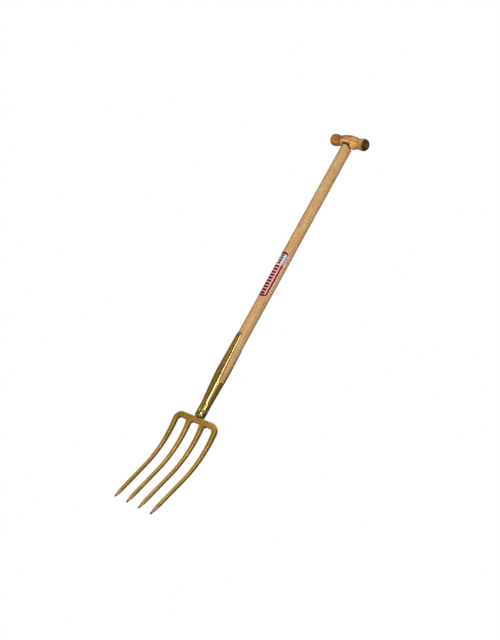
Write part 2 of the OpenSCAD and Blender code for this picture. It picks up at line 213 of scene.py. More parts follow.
# Helpers that turn a bmesh into a piece of the object


def as_object(name, bm, *finishes):
    """A mesh object in the scene, made from a bmesh."""
    mesh = bpy.data.meshes.new(name)
    bm.to_mesh(mesh)
    bm.free()
    for finish in finishes:
        mesh.materials.append(finish)
    obj = bpy.data.objects.new(name, mesh)
    bpy.context.scene.collection.objects.link(obj)
    return obj


def piece(name, bm, finish, slot, *nodes, sharp=40, second=None):
    """A new piece from a bmesh, riding on the one body. Edges past an angle in degrees stay sharp."""
    bmesh.ops.remove_doubles(bm, verts=bm.verts[:], dist=MERGE)
    bmesh.ops.recalc_face_normals(bm, faces=bm.faces[:])
    finishes = [finish, second] if second else [finish]
    obj = as_object(name, bm, *finishes)
    obj.data.shade_smooth()
    obj.data.set_sharp_from_angle(angle=math.radians(sharp))
    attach(obj, "root")
    if nodes:
        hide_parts(*nodes)


def move(bm, shape):
    """Moves every vertex to where a shaping function puts it."""
    for v in bm.verts:
        v.co = shape(v.co)


def shift(bm, x=0, y=0, z=0):
    bmesh.ops.translate(bm, verts=bm.verts[:], vec=(x, y, z))


def rounded_face(bm, width, depth, radius):
    """A flat rectangle, width along X and depth along Y, with round corners that are marked as edges."""
    made = bmesh.ops.create_grid(bm, x_segments=1, y_segments=1, size=0.5)
    bmesh.ops.scale(bm, verts=made["verts"], vec=(width, depth, 1))
    bmesh.ops.bevel(
        bm,
        geom=made["verts"],
        offset=radius,
        affect="VERTICES",
        segments=4,
        profile=0.5,
        material=-1,
    )
    mark = bm.verts.layers.float.new("edge")
    corners = bm.verts[:]
    flat = min(width, depth) - 2 * radius
    sides = [e for e in bm.edges if e.calc_length() > flat / 2]
    bmesh.ops.subdivide_edges(bm, edges=sides, cuts=3)
    for v in bm.verts:
        v[mark] = v in corners
    return bm.faces[:][-1]


def draw_out(bm, face, step, times):
    """Extrudes a face again and again, each time moved on by the same matrix. Returns the last face."""
    for _ in range(times):
        made = bmesh.ops.extrude_face_region(bm, geom=[face])["geom"]
        bmesh.ops.delete(bm, geom=[face], context="FACES_ONLY")
        face = next(g for g in made if isinstance(g, bmesh.types.BMFace))
        bmesh.ops.transform(bm, matrix=step, verts=face.verts[:])
    return face


def draw_straight(bm, face, way, times):
    """Extrudes a face along a straight way, in equal steps. Returns the last face."""
    return draw_out(bm, face, Matrix.Translation(way / times), times)


def turned(bm, profile, axis=UP, steps=64):
    """Spins a chain of (radius, height) points once round an axis through the origin."""
    side = ACROSS if axis != ACROSS else FORWARD
    chain = [bm.verts.new(side * r + axis * h) for r, h in profile]
    edges = [bm.edges.new(pair) for pair in zip(chain, chain[1:])]
    bmesh.ops.spin(
        bm,
        geom=chain + edges,
        cent=(0, 0, 0),
        axis=axis,
        angle=math.tau,
        steps=steps,
        use_merge=True,
    )
    bmesh.ops.remove_doubles(bm, verts=bm.verts[:], dist=FINE_MERGE)
    return bm


def round_edges(bm, radius, angle=35):
    """Rounds every edge between two faces that is sharper than an angle in degrees."""
    shared = [e for e in bm.edges if len(e.link_faces) == 2]
    bmesh.ops.bevel(
        bm,
        geom=[e for e in shared if e.calc_face_angle() > math.radians(angle)],
        offset=radius,
        affect="EDGES",
        segments=2,
        profile=0.5,
        material=-1,
        clamp_overlap=True,
    )


def thicken(bm, wall):
    """Gives a sheet a wall on its inner side."""
    bmesh.ops.remove_doubles(bm, verts=bm.verts[:], dist=MERGE)
    bmesh.ops.recalc_face_normals(bm, faces=bm.faces[:])
    bmesh.ops.solidify(bm, geom=bm.faces[:], thickness=wall)


# Helpers for the finishes


class Value:
    """One output of a shader node, which takes Python's operators."""

    def __init__(self, paint, socket):
        self.paint, self.socket = paint, socket

    def _math(self, operation, *terms):
        return self.paint.add("Math", {"operation": operation}, dict(enumerate(terms)))

    def __add__(self, other):
        return self._math("ADD", self, other)

    def __sub__(self, other):
        return self._math("SUBTRACT", self, other)

    def __rsub__(self, other):
        return self._math("SUBTRACT", other, self)

    def __mul__(self, other):
        return self._math("MULTIPLY", self, other)

    def __pow__(self, other):
        return self._math("POWER", self, other)

    def __abs__(self):
        return self._math("ABSOLUTE", self)

    __radd__, __rmul__ = __add__, __mul__

    def parted(self, period):
        """What is left over after whole periods."""
        return self._math("FLOORED_MODULO", self, period)

    def at_most(self, other):
        return self._math("MINIMUM", self, other)

    def at_least(self, other):
        return self._math("MAXIMUM", self, other)

    def rise(self, low, high):
        """0 at low, 1 at high, eased and held outside."""
        settings = {"interpolation_type": "SMOOTHSTEP"}
        return self.paint.add(
            "MapRange", settings, {"Value": self, "From Min": low, "From Max": high}
        )


class Paint:
    """The nodes of a material or of the world."""

    def __init__(self, owner, surface="Principled BSDF"):
        owner.use_nodes = True
        self.owner = owner
        self.tree = owner.node_tree
        self.surface = self.tree.nodes[surface]

    def add(self, kind, settings=None, sockets=None, output=0):
        """A node of any type: its settings are set first, then the values or links of its sockets."""
        node = self.tree.nodes.new("ShaderNode" + kind)
        for name, value in (settings or {}).items():
            setattr(node, name, value)
        for name, value in (sockets or {}).items():
            self.plug(node.inputs[name], value)
        return Value(self, node.outputs[output])

    def plug(self, socket, value):
        if isinstance(value, Value):
            self.tree.links.new(value.socket, socket)
        else:
            socket.default_value = value

    def set(self, **sockets):
        """Sets or links inputs of the surface, named with underscores for spaces."""
        for name, value in sockets.items():
            self.plug(self.surface.inputs[name.replace("_", " ")], value)

    def place(self, scale=(1, 1, 1)):
        """Object coordinates, stretched."""
        spot = self.add("TexCoord", output="Object")
        return self.add("Mapping", None, {"Vector": spot, "Scale": scale})

    def axes(self):
        """Object coordinates as three values."""
        spot = self.add("TexCoord", output="Object")
        node = self.add("SeparateXYZ", None, {"Vector": spot}).socket.node
        return [Value(self, out) for out in node.outputs]

    def noise(self, vector, scale, detail=4, roughness=0.55, warp=0):
        sockets = {"Vector": vector, "Scale": scale, "Detail": detail}
        sockets.update({"Roughness": roughness, "Distortion": warp})
        return self.add("TexNoise", None, sockets)

    def mark(self, name):
        """A value that the mesh carries at its points."""
        return self.add("Attribute", {"attribute_name": name}, output="Fac")

    def slant(self):
        """0 where the surface faces the eye, 1 where it turns away."""
        return self.add("LayerWeight", None, {"Blend": 0.5}, output="Facing")

    def seen(self):
        """1 for the camera's own ray and for what it meets in a mirror or through glass."""
        seen = self.add("LightPath", output="Is Camera Ray")
        for ray in ("Is Glossy Ray", "Is Transmission Ray"):
            seen = seen.at_least(self.add("LightPath", output=ray))
        return seen

    def blend(self, share, a, b):
        return self.add("Mix", {"data_type": "RGBA"}, {0: share, 6: a, 7: b}, output=2)

    def bump(self, height, distance, strength, under=None):
        sockets = {"Height": height, "Distance": distance, "Strength": strength}
        if under:
            sockets["Normal"] = under
        return self.add("Bump", None, sockets)


def new_paint(name):
    return Paint(bpy.data.materials.new(name))


def linear(c):
    """One screen value, 0 to 1, as linear light."""
    return c / 12.92 if c < 0.04045 else ((c + 0.055) / 1.055) ** 2.4


def srgb(r, g, b):
    """A colour given in 0 to 255 screen values, as the linear colour that the shader takes."""
    return (*(linear(c / 255) for c in (r, g, b)), 1)


# Lacquer: painted shade and a gloss tint at a slant, tones on rubbed edges and at the points, and how
# rough and deep they are
LACQUER_SLANT_SHADE, LACQUER_SLANT_SHADE_SHARE = srgb(74, 42, 12), 0.8
SLANT_TINT = srgb(206, 170, 110)
BROWN_SHARE = 0.55
RUBBED, RUBBED_SHARE, RUBBED_DULL = srgb(222, 190, 146), 0.4, 0.8
BARE_STEEL, BARE_SHARE = srgb(190, 152, 122), 0.5
DARK_STEEL = srgb(74, 64, 58)
POINT_BARE, BARE_RUN = -cad_low.z - 29 * MM, 16 * MM
POINT_DARK, DARK_RUN = -cad_low.z - 4.5 * MM, 5 * MM
POINT_RAGGED = 8 * MM
MOTTLE_ROUGH, RUBBED_ROUGH, BARE_ROUGH = 0.06, 0.12, 0.15
COAT_ROUGH, COAT_IOR = 0.06, 1.55
PEEL_DEPTH, PEEL_SHOWS = 0.01 * MM, 0.1
FORGE_DEPTH, FORGE_SHOWS = 0.2 * MM, 0.08


def lacquer(name, gold, olive, brown, rough=0.3, metal=0.85, coat=0.4, relief=1, points=False):
    """Bronze-gold lacquer over forged steel: drifting tone, rubbed edges and painted shade that darkens
    it where the surface turns from the eye.
    """
    p = new_paint(name)
    drift = p.noise(p.place((1, 1, 0.4)), scale=24, detail=2).rise(0.38, 0.62)
    warm = p.noise(p.place((1, 1, 0.5)), scale=40, detail=3, warp=0.3).rise(0.5, 0.7)
    mottle = p.noise(p.place(), scale=170, detail=4).rise(0.3, 0.7)
    scuff = p.noise(p.place((1, 1, 0.4)), scale=320, detail=5, roughness=0.7)
    tone = p.blend(drift, olive, gold)
    tone = p.blend(warm * BROWN_SHARE, tone, brown)
    # Painted shade: the colour darkens towards the silhouettes, where the surface turns away from the eye
    tone = p.blend(p.slant().rise(0.25, 0.95) * LACQUER_SLANT_SHADE_SHARE, tone, LACQUER_SLANT_SHADE)
    rubbed = p.mark("edge").rise(0.5, 1) * scuff.rise(0.35, 0.6)
    tone = p.blend(rubbed * RUBBED_SHARE, tone, RUBBED)
    shine = rough + mottle * MOTTLE_ROUGH + rubbed * RUBBED_ROUGH
    if points:
        depth = scuff * POINT_RAGGED - p.axes()[2]
        bare = depth.rise(POINT_BARE, POINT_BARE + BARE_RUN)
        tone = p.blend(bare * BARE_SHARE, tone, BARE_STEEL)
        tone = p.blend(depth.rise(POINT_DARK, POINT_DARK + DARK_RUN), tone, DARK_STEEL)
        shine = shine + bare * BARE_ROUGH
    peel = p.noise(p.place(), scale=900, detail=2)
    forge = p.noise(p.place(), scale=60, detail=3)
    forged = p.bump(forge, FORGE_DEPTH, FORGE_SHOWS * relief)
    p.set(
        Base_Color=tone,
        Metallic=metal - rubbed * (metal * RUBBED_SHARE * RUBBED_DULL),
        Roughness=shine,
        Coat_Weight=coat,
        Coat_Roughness=COAT_ROUGH,
        Coat_IOR=COAT_IOR,
        Specular_Tint=SLANT_TINT,
        Normal=p.bump(peel, PEEL_DEPTH, PEEL_SHOWS * relief, forged),
    )
    return p.owner


head_finish = lacquer(
    "head_lacquer",
    gold=srgb(177, 140, 65),
    olive=srgb(150, 126, 50),
    brown=srgb(173, 116, 63),
    rough=0.38,
    coat=0.1,
    points=True,
)
socket_finish = lacquer(
    "socket_lacquer",
    gold=srgb(138, 114, 36),
    olive=srgb(114, 98, 22),
    brown=srgb(152, 108, 46),
    rough=0.15,
    metal=0.5,
    coat=1.0,
    relief=0.4,
)
neck_finish = lacquer(
    "neck_lacquer",
    gold=srgb(122, 108, 40),
    olive=srgb(88, 74, 26),
    brown=srgb(84, 52, 30),
    rough=0.03,
    metal=0.7,
    coat=0.9,
    relief=0.4,
)
rivet_finish = lacquer(
    "rivet_lacquer",
    gold=srgb(112, 84, 40),
    olive=srgb(88, 66, 26),
    brown=srgb(98, 60, 28),
)

# Wood: shares of the tones and of the painted shade at a slant, the grain's relief, the painted shade at
# the sill and the rings on the grip's ends
PATCH_STRETCH = 0.25
WARM_SHARE, COOL_SHARE, STREAK_SHARE, PORE_SHARE, WOOD_SLANT_SHADE_SHARE = 0.8, 0.6, 0.5, 0.35, 0.9
GRAIN_DEPTH, GRAIN_SHOWS, GRAIN_ROUGH = 0.06 * MM, 0.35, 0.08
PORE_RELIEF = -0.6
SILL_SHADE_LOW, SILL_SHADE_HIGH = SILL_Z + 1 * MM, SILL_Z + 4 * MM
CUT_LOW, CUT_HIGH, CUT_SHARE = KNOB_X + 1 * MM, KNOB_X + 7 * MM, 0.95
CORE_LOW, CORE_HIGH = 3 * MM, 11 * MM
RING_PITCH = 2.4 * MM
RING_LATE, RING_EARLY = 0.2 * RING_PITCH, 0.9 * RING_PITCH


def wood(
    name, pale, warm, cool, dark, edge, grain, rough=0.5, shine=0.12, contrast=1.0, sill_shade=None, ends=None
):
    """Straight-grained timber: patches of tone, streaks and pores along the grain, and painted shade at a
    slant.
    """
    p = new_paint(name)
    wide = tuple(1 if g == 1 else PATCH_STRETCH for g in grain)
    patch = p.noise(p.place(wide), scale=80, detail=2, warp=0.2).rise(0.42, 0.62)
    tint = p.noise(p.place(wide), scale=64, detail=2, warp=0.2).rise(0.48, 0.62)
    streak = p.noise(p.place(grain), scale=420, detail=4, roughness=0.6, warp=0.3).rise(0.45, 0.75)
    pores = p.noise(p.place(grain), scale=1700, detail=2, roughness=0.6).rise(0.58, 0.72)
    tone = p.blend(patch * min(1, WARM_SHARE * contrast), pale, warm)
    tone = p.blend(tint * COOL_SHARE, tone, cool)
    tone = p.blend(streak * min(1, STREAK_SHARE * contrast), tone, dark)
    tone = p.blend(pores * PORE_SHARE, tone, dark)
    # Painted shade: the edge colour darkens the wood towards the silhouettes, where the surface turns
    # away from the eye
    tone = p.blend(p.slant().rise(0.3, 0.85) * WOOD_SLANT_SHADE_SHARE, tone, edge)
    x, y, z = p.axes()
    if sill_shade:
        # Painted shade: the wood turns dark just above the socket's sill, where the window's edge meets
        # it
        tone = p.blend(1 - z.rise(SILL_SHADE_LOW, SILL_SHADE_HIGH), tone, sill_shade)
    if ends:
        core, late, early = ends
        from_middle = ((y - HANDLE_Y) ** 2 + (z - GRIP_Z) ** 2) ** 0.5
        in_ring = (from_middle + patch * RING_PITCH).parted(RING_PITCH)
        rings = p.blend(in_ring.rise(RING_LATE, RING_EARLY), late, early)
        end_tone = p.blend(from_middle.rise(CORE_LOW, CORE_HIGH), core, rings)
        tone = p.blend(abs(x).rise(CUT_LOW, CUT_HIGH) * CUT_SHARE, tone, end_tone)
    p.set(
        Base_Color=tone,
        Roughness=rough + streak * GRAIN_ROUGH + pores * GRAIN_ROUGH,
        Specular_IOR_Level=shine,
        Normal=p.bump(streak + pores * PORE_RELIEF, GRAIN_DEPTH, GRAIN_SHOWS),
    )
    return p.owner


ash_finish = wood(
    "ash",
    pale=srgb(198, 164, 116),
    warm=srgb(202, 146, 100),
    cool=srgb(184, 156, 90),
    dark=srgb(148, 106, 60),
    edge=srgb(136, 94, 34),
    grain=(1, 1, 0.03),
    rough=0.27,
    sill_shade=srgb(58, 34, 14),
)
raw_finish = wood(
    "raw_cut",
    pale=srgb(244, 208, 178),
    warm=srgb(238, 192, 162),
    cool=srgb(238, 204, 170),
    dark=srgb(214, 164, 130),
    edge=srgb(200, 150, 118),
    grain=(1, 1, 0.2),
    rough=0.6,
)
# Painted shade: dark brown wood for the tongue, which sits in the shaded recess under the grip
tongue_shade_finish = wood(
    "tongue_shade",
    pale=srgb(98, 58, 24),
    warm=srgb(84, 44, 18),
    cool=srgb(110, 70, 32),
    dark=srgb(56, 28, 10),
    edge=srgb(44, 22, 8),
    grain=(1, 1, 0.1),
)
tenon_finish = wood(
    "tenon_end_grain",
    pale=srgb(196, 150, 96),
    warm=srgb(176, 126, 74),
    cool=srgb(180, 146, 90),
    dark=srgb(128, 84, 44),
    edge=srgb(100, 64, 30),
    grain=(1, 0.3, 1),
)
grip_finish = wood(
    "grip_varnish",
    pale=srgb(200, 142, 56),
    warm=srgb(168, 101, 26),
    cool=srgb(244, 198, 124),
    dark=srgb(84, 38, 8),
    edge=srgb(70, 28, 6),
    grain=(0.08, 1, 1),
    rough=0.3,
    shine=0.1,
    contrast=1.5,
    ends=(srgb(112, 64, 30), srgb(26, 10, 4), srgb(66, 32, 14)),
)
wedge_finish = wood(
    "wedge_wood",
    pale=srgb(150, 104, 60),
    warm=srgb(128, 84, 46),
    cool=srgb(140, 104, 64),
    dark=srgb(92, 56, 28),
    edge=srgb(70, 42, 20),
    grain=(1, 0.2, 1),
)

# Label print: each colour in two tones that the ink drifts between, and two plain inks
CRIMSON, CRIMSON_DRIFT = (srgb(110, 2, 22), srgb(94, 0, 16)), 0.4
PALE, PALE_DRIFT = (srgb(226, 170, 164), srgb(214, 152, 146)), 0.3
SILVER, SILVER_DRIFT = (srgb(200, 202, 206), srgb(176, 178, 182)), 0.4
BAR_INK, RULE_INK = srgb(78, 14, 24), srgb(58, 46, 48)
FADED_SHARE = 0.45
FILM_ROUGH, FILM_SHINE = 0.45, 0.1
INK_ROUGH, INK_DEPTH, INK_SHOWS = 0.1, 0.02 * MM, 0.3


def label_print():
    """Plain print on film: a pale margin, a crimson frame, bars on a pale field and a silver panel."""
    p = new_paint("label_print")
    x, _, z = p.axes()
    low, high = label_low.z, label_high.z
    half = label_high.x

    def past(value, start):
        return value.rise(start - PRINT_SOFT, start + PRINT_SOFT)

    def band(value, start, end):
        return past(value, start) * (1 - past(value, end))

    out_x = abs(x) - (half - LABEL_CORNER_R)
    out_z = abs(z - (low + high) / 2) - ((high - low) / 2 - LABEL_CORNER_R)
    round_part = (out_x.at_least(0) ** 2 + out_z.at_least(0) ** 2) ** 0.5
    inset = LABEL_CORNER_R - (round_part + out_x.at_least(out_z).at_most(0))
    inside = past(inset, PRINT_MARGIN)
    inner = past(inset, PRINT_MARGIN + PRINT_FRAME)
    field_low, field_high = low + FIELD_FOOT, high - FIELD_DROP
    panel_low, panel_high = field_high + PANEL_GAP, high - PANEL_DROP
    field = inner * band(z, field_low, panel_low)
    pitch = (field_high - field_low) / PRINT_BARS
    bar_end = half - PRINT_MARGIN - PRINT_FRAME - BAR_INSET
    bar = band((z - field_low).parted(pitch), *(share * pitch for share in BAR_SPAN))
    bar = bar * (1 - past(x, bar_end)) * field * (1 - past(z, field_high))
    at_panel = band(z, panel_low, panel_high)
    panel = inner * at_panel
    faded = (inside - inner) * at_panel
    pitch = (panel_high - panel_low) / PRINT_RULES
    rule = band((z - panel_low).parted(pitch), *(share * pitch for share in RULE_SPAN))
    rule = rule * band(x, *(share * half for share in RULE_SIDES)) * panel
    ink = p.noise(p.place(), scale=900, detail=3).rise(0.3, 0.7)
    pale = p.blend(ink * PALE_DRIFT, *PALE)
    tone = p.blend(inside, pale, p.blend(ink * CRIMSON_DRIFT, *CRIMSON))
    tone = p.blend(field, tone, pale)
    tone = p.blend(bar, tone, BAR_INK)
    tone = p.blend(panel + faded * FADED_SHARE, tone, p.blend(ink * SILVER_DRIFT, *SILVER))
    tone = p.blend(rule, tone, RULE_INK)
    p.set(
        Base_Color=tone,
        Roughness=FILM_ROUGH + ink * INK_ROUGH,
        Specular_IOR_Level=FILM_SHINE,
        Normal=p.bump(ink, INK_DEPTH, INK_SHOWS),
    )
    return p.owner


label_finish = label_print()


# Head


def head_at(h):
    """Place (y, z) and lean of the head's middle line at a depth h along it."""
    y = z = lean = 0.0
    for length, turn in HEAD_BENDS:
        part = min(h, length)
        bend = turn * part / length
        chord = part * math.sin(bend / 2) / (bend / 2) if bend else part
        y += chord * math.sin(lean + bend / 2)
        z -= chord * math.cos(lean + bend / 2)
        lean += bend
        h -= part
    return y + h * math.sin(lean), z - h * math.cos(lean), lean


def bent(co):
    """A point of the flat head, after the bends."""
    y, z, lean = head_at(-co.z)
    return Vector((co.x, y + co.y * math.cos(lean), z + co.y * math.sin(lean)))


def pitch_at(h):
    return mix(PITCH_BAR, PITCH_POINT, h / TINE_LENGTH)


def tine_size(h, root, end):
    """Width or thickness of a tine at a depth h: it tapers from the root and then to the point."""
    if h <= POINT_H:
        return mix(end, root, (1 - part_way(BAR_BOTTOM, POINT_H, h)) ** ROOT_TAPER)
    return mix(end, POINT_END, ((h - POINT_H) / POINT_LENGTH) ** POINT_FULLNESS)


def tine_point(place, u, v, h, flare=0):
    """Flat point of a tine: u across and v to the back in shares of its width and depth."""
    w = tine_size(h, ROOT_W, END_W) + 2 * flare
    return Vector((place * pitch_at(h) + u * w, v * tine_size(h, ROOT_T, END_T), -h))


CORNER_W = tine_size(CORNER_H, ROOT_W, END_W)
CORNER_X = OUTER_RATIO * pitch_at(CORNER_H) + CORNER_W / 2 - CORNER_R
BAR_STEPS, CORNER_STEPS, ROOT_STEPS, SWEEP_STEPS, POINT_STEPS = 10, 14, 16, 60, 10


def bow_point(co):
    """Shapes the plain flat bow: the bent corner's taper and the tine's taper."""
    h = -co.z
    if co.x <= CORNER_X:
        return co
    if h <= CORNER_H:
        a = math.atan2(co.x - CORNER_X, CORNER_H - h)
        share = a / (math.pi / 2)
        w = mix(BAR_H, CORNER_W, share)
        t = mix(BAR_T, tine_size(CORNER_H, ROOT_T, END_T), share)
        r = CORNER_R - (CORNER_R - math.hypot(co.x - CORNER_X, CORNER_H - h)) * w / BAR_H
        return Vector((CORNER_X + r * math.sin(a), co.y * t / BAR_T, r * math.cos(a) - CORNER_H))
    u = (co.x - (CORNER_X + CORNER_R - BAR_H / 2)) / BAR_H
    return tine_point(OUTER_RATIO, u, co.y / BAR_T, h)


def tine_bow():
    """Half of the bow, from the middle of the crossbar to one point, and its mirror image."""
    bm = bmesh.new()
    face = rounded_face(bm, BAR_H, BAR_T, EDGE_R)
    stand = Matrix.Translation((0, 0, TREAD_Z - BAR_H / 2)) @ Matrix.Rotation(math.pi / 2, 4, "Y")
    bmesh.ops.transform(bm, matrix=stand, verts=bm.verts[:])
    face = draw_straight(bm, face, ACROSS * CORNER_X, BAR_STEPS)
    middle = Vector((CORNER_X, 0, -CORNER_H))
    turn = Matrix.Rotation(math.pi / 2 / CORNER_STEPS, 4, "Y")
    turn = Matrix.Translation(middle) @ turn @ Matrix.Translation(-middle)
    face = draw_out(bm, face, turn, CORNER_STEPS)
    face = draw_straight(bm, face, -UP * (POINT_H - CORNER_H), SWEEP_STEPS)
    draw_straight(bm, face, -UP * POINT_LENGTH, POINT_STEPS)
    move(bm, bow_point)
    move(bm, bent)
    half = bm.verts[:] + bm.edges[:] + bm.faces[:]
    bmesh.ops.mirror(bm, geom=half, axis="X", merge_dist=MIRROR_MERGE)
    piece("tine_bow_bar", bm, head_finish, "head_lacquer", "tine_bow")


def inner_point(place, co):
    """Shapes a plain flat bar into an inner tine whose filleted root laps onto the crossbar."""
    h = -co.z
    gap = max(0, ROOT_FILLET_R - max(0, h - BAR_BOTTOM))
    flare = min(ROOT_FILLET_R - leg(ROOT_FILLET_R, gap), ROOT_FLARE_MAX)
    shaped = tine_point(place, co.x / ROOT_W, co.y / ROOT_T, h, flare)
    lap = 1 - smooth(BAR_BOTTOM, BAR_BOTTOM + ROOT_FILLET_R, h)
    shaped.y *= 1 + lap * ((BAR_T + 2 * ROOT_PROUD) / ROOT_T - 1)
    return shaped


def inner_tine(name, place, node):
    bm = bmesh.new()
    face = rounded_face(bm, ROOT_W, ROOT_T, EDGE_R)
    shift(bm, z=ROOT_UP - BAR_BOTTOM)
    face = draw_straight(bm, face, -UP * (ROOT_UP + ROOT_FILLET_R), ROOT_STEPS)
    face = draw_straight(bm, face, -UP * (POINT_H - BAR_BOTTOM - ROOT_FILLET_R), SWEEP_STEPS)
    draw_straight(bm, face, -UP * POINT_LENGTH, POINT_STEPS)
    bmesh.ops.holes_fill(bm, edges=bm.edges[:], sides=0)
    move(bm, lambda co: inner_point(place, co))
    move(bm, bent)
    piece(name, bm, head_finish, "head_lacquer", node)


tine_bow()
inner_tine("inner_tine_left_bar", -INNER_RATIO, "inner_tine_left")
inner_tine("inner_tine_right_bar", INNER_RATIO, "inner_tine_right")


# Neck and weld bead


def neck():
    """Round boss with a rounded foot and a crease under the bead."""
    inner = NECK_R - NECK_EDGE_R
    arc = quarter(steps=14)
    bowl = [(inner + NECK_EDGE_R * math.sin(a), NECK_EDGE_R * (1 - math.cos(a))) for a in arc]
    stub_r = NECK_R - NECK_CREASE
    top = [(NECK_R, NECK_TOP - 2 * NECK_CREASE), (stub_r, NECK_TOP), (stub_r, NECK_TOP + NECK_STUB)]
    bm = turned(bmesh.new(), [(0, 0)] + bowl + top)
    piece("neck_boss", bm, neck_finish, "head_lacquer", "neck")


def neck_weld():
    """Bead with ripples, as a run of weld leaves them."""
    inner, outer = NECK_R - BEAD_PROUD, NECK_R + BEAD_PROUD
    rounding = [-math.pi / 2] + spread(-math.pi / 2, math.pi / 2, count=8)
    profile = [(inner + 2 * BEAD_PROUD * math.cos(a), BEAD_HALF * math.sin(a)) for a in rounding]
    bm = turned(bmesh.new(), profile, steps=208)

    def ripple(co):
        wave = math.sin(RIPPLES * math.atan2(co.x, -co.y) + RIPPLE_SLANT * co.z)
        out = smooth(inner, outer, math.hypot(co.x, co.y))
        scale = 1 + RIPPLE_DEPTH * (wave - 1) * out
        return Vector((co.x * scale, co.y * scale, NECK_TOP + co.z * (1 + RIPPLE_SWELL * wave)))

    move(bm, ripple)
    piece("neck_weld_bead", bm, socket_finish, "head_lacquer", "neck_weld")


neck()
neck_weld()


# Socket


def lean_at(z):
    """Place of the handle's middle line, front to back, which leans to the neck at its foot."""
    return HANDLE_Y * part_way(LEAN_Z, FULL_Z, z)


def socket_r_at(z):
    return mix(NECK_R, SOCKET_R, part_way(FLARE_Z, FULL_Z, z))


def around(r, angle, z):
    """A point on the handle, at an angle from its front towards +X."""
    return Vector((r * math.sin(angle), lean_at(z) - r * math.cos(angle), z))


def strap_reach(z, top):
    """Half the angle that a strap covers at a height above the sill."""
    r = socket_r_at(z)
    start, end = SILL_Z + WINDOW_R, top - STRAP_END_R
    drop = max(0, start - z)
    gap = WINDOW_W / 2 - WINDOW_R + leg(WINDOW_R, drop)
    root = leg(SOCKET_R, WINDOW_W / 2)
    wide = mix(root, STRAP_END_R, part_way(start, end, z))
    if z > end:
        wide = leg(STRAP_END_R, z - end)
    return math.asin(min(wide, leg(r, gap)) / r)


SIDE_COLUMNS, STRAP_COLUMNS = 22, 19


def socket_half(bm, top, turn):
    """Half of the socket's sheet: a half tube below the windows and a strap above them."""
    end = top - STRAP_END_R
    below = [NECK_TOP] + spread(NECK_TOP, SILL_Z, count=30)
    corner = [SILL_Z + WINDOW_R * (1 - math.cos(a)) for a in quarter(steps=6)[1:]]
    strap = spread(SILL_Z + WINDOW_R, end, count=36)
    tip = [end + STRAP_END_R * math.sin(a) for a in quarter(steps=14)[1:-1]]
    heights = below + corner + strap + tip
    sill, last = len(below) - 1, len(heights) - 1
    made = bmesh.ops.create_grid(bm, x_segments=2 * SIDE_COLUMNS, y_segments=last, size=1)
    spots = {v: (round(v.co.x * SIDE_COLUMNS), round((v.co.y + 1) / 2 * last)) for v in made["verts"]}
    for v, (i, j) in spots.items():
        z = heights[j]
        reach = strap_reach(max(z, SILL_Z), top)
        angle = reach * i / STRAP_COLUMNS
        if abs(i) > STRAP_COLUMNS:
            past = (abs(i) - STRAP_COLUMNS) / (SIDE_COLUMNS - STRAP_COLUMNS)
            angle = math.copysign(mix(reach, math.pi / 2, past), i)
        rim = (reach - abs(angle)) * socket_r_at(z)
        fall = STRAP_FALL * max(0, 1 - rim / STRAP_RIM) ** 2 * smooth(SILL_Z, SILL_Z + WINDOW_R, z)
        v.co = around(socket_r_at(z) - fall, angle + turn, z)
    spare = {
        f
        for v, (i, j) in spots.items()
        if abs(i) > STRAP_COLUMNS and j > sill
        for f in v.link_faces
    }
    bmesh.ops.delete(bm, geom=list(spare), context="FACES")


def socket():
    bm = bmesh.new()
    socket_half(bm, FRONT_STRAP_Z, 0)
    socket_half(bm, REAR_STRAP_Z, math.pi)
    thicken(bm, SOCKET_WALL)
    round_edges(bm, SOCKET_EDGE_R)
    piece("socket_shell", bm, socket_finish, "head_lacquer", "socket")


socket()


# Rivets


def rivets():
    """Three domed heads on the straps and the tail that is closed over the washer."""
    bm = bmesh.new()
    arc = RIVET_HEAD_R**2 / (2 * RIVET_HEAD_H) + RIVET_HEAD_H / 2
    widest = math.asin(RIVET_HEAD_R / arc)
    angles = [0] + spread(0, widest, count=8)
    dome = [(arc * math.sin(a), arc * (math.cos(a) - 1)) for a in angles]
    dome.append((RIVET_HEAD_R, dome[-1][1] - RIVET_SINK))
    tail = [(0, 0), (RIVET_TAIL_R - RIVET_TAIL_LIP, 0)]
    tail += [(RIVET_TAIL_R, -RIVET_TAIL_LIP), (RIVET_TAIL_R, -RIVET_TAIL_H)]
    head_out = SOCKET_R + RIVET_HEAD_H
    bed_out = leg(SHAFT_R, WASHER_R + FIT_GAP) - WASHER_BED
    seats = [
        (UPPER_RIVET_Z, FORWARD, head_out, dome),
        (LOWER_RIVET_Z, FORWARD, head_out, dome),
        (LOWER_RIVET_Z, -FORWARD, head_out, dome),
        (UPPER_RIVET_Z, -FORWARD, bed_out + WASHER_T + RIVET_TAIL_H, tail),
    ]
    for z, way, out, profile in seats:
        head = turned(bmesh.new(), [(r, out + h) for r, h in profile], axis=way, steps=32)
        for f in head.faces:
            f.material_index = z == LOWER_RIVET_Z
        shift(head, y=HANDLE_Y, z=z)
        part = bpy.data.meshes.new("rivet_part")
        head.to_mesh(part)
        bm.from_mesh(part)
        head.free()
        bpy.data.meshes.remove(part)
    piece("strap_rivet_heads", bm, rivet_finish, "rivet_steel", "strap_rivets", second=socket_finish)


rivets()


# Shaft


def shaft_r_at(z):
    if z <= CLIP_Z:
        return mix(SHAFT_R, CLIP_R, part_way(FULL_Z, CLIP_Z, z))
    return mix(CLIP_R, SHAFT_TOP_R, part_way(CLIP_Z + CLIP_LENGTH, SEAT_Z, z))


def cope_at(y):
    """Height of the hollowed shoulder at a distance from the handle's middle plane."""
    return GRIP_Z - leg(COPE_R, min(abs(y), SHAFT_TOP_R))


